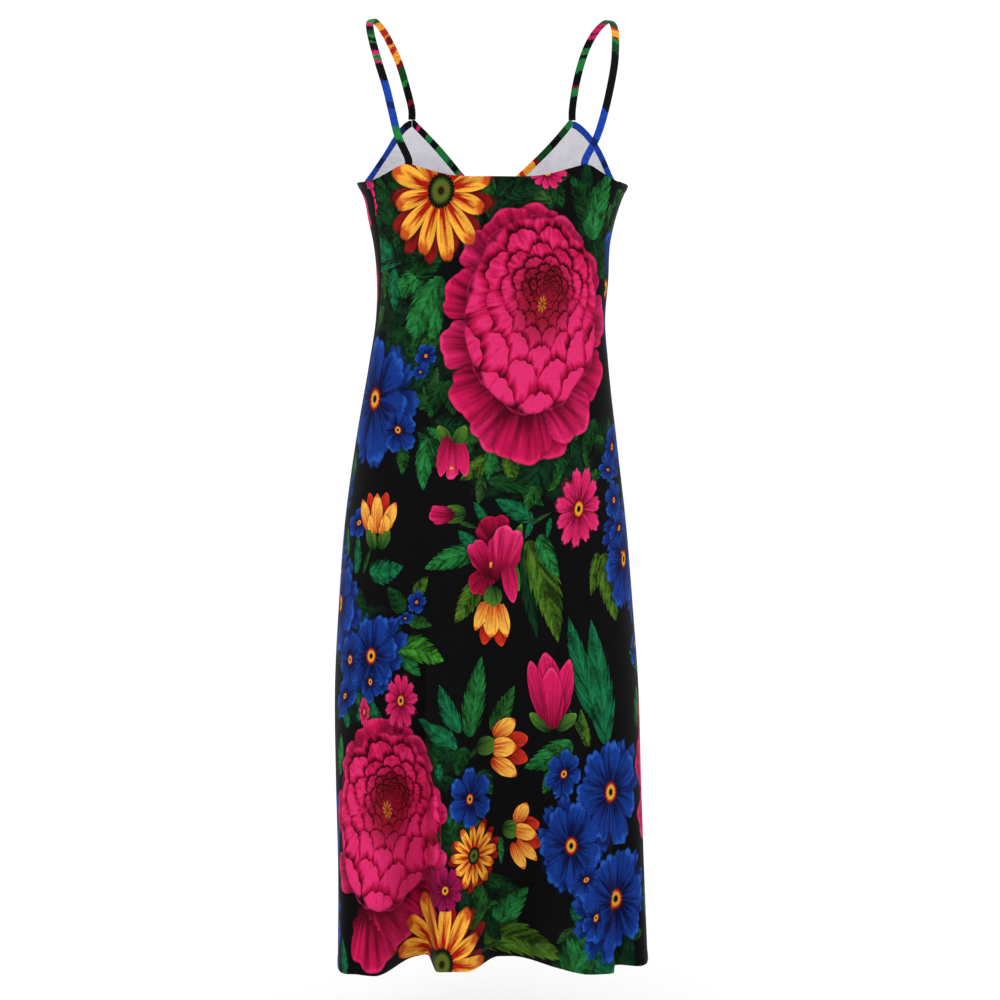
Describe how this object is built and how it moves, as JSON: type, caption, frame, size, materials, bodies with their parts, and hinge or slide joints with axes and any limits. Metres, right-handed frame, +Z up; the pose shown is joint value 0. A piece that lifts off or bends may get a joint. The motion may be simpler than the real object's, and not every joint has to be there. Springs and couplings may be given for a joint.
{
  "type": "maxi dress",
  "caption": "Sleeveless maxi slip dress, spaghetti straps, V-neck front, straight low back and fluted skirt, in floral print; worn shape, open at neck, armholes and hem.",
  "frame": {"origin": "Midway between the two shoulders, level with the underside of the strap crests, where the wearer's shoulders carry the dress.", "axes": "+Z up along the wearer, the front of the dress faces -Y, +X is the wearer's left."},
  "size_m": [0.4208, 0.3165, 1.244],
  "materials": {
    "printed_jersey": "soft jersey, matt, printed with flowers on black on the face, pale on the wrong side",
    "printed_band": "the same printed jersey, folded into narrow bands"
  },
  "bodies": {
    "root": {"back_panel": "printed_jersey", "front_panel": "printed_jersey", "neck_band_left": "printed_band", "neck_band_right": "printed_band", "armhole_band_left": "printed_band", "armhole_band_right": "printed_band", "strap_left": "printed_band", "strap_right": "printed_band"}
  },
  "joints": []
}
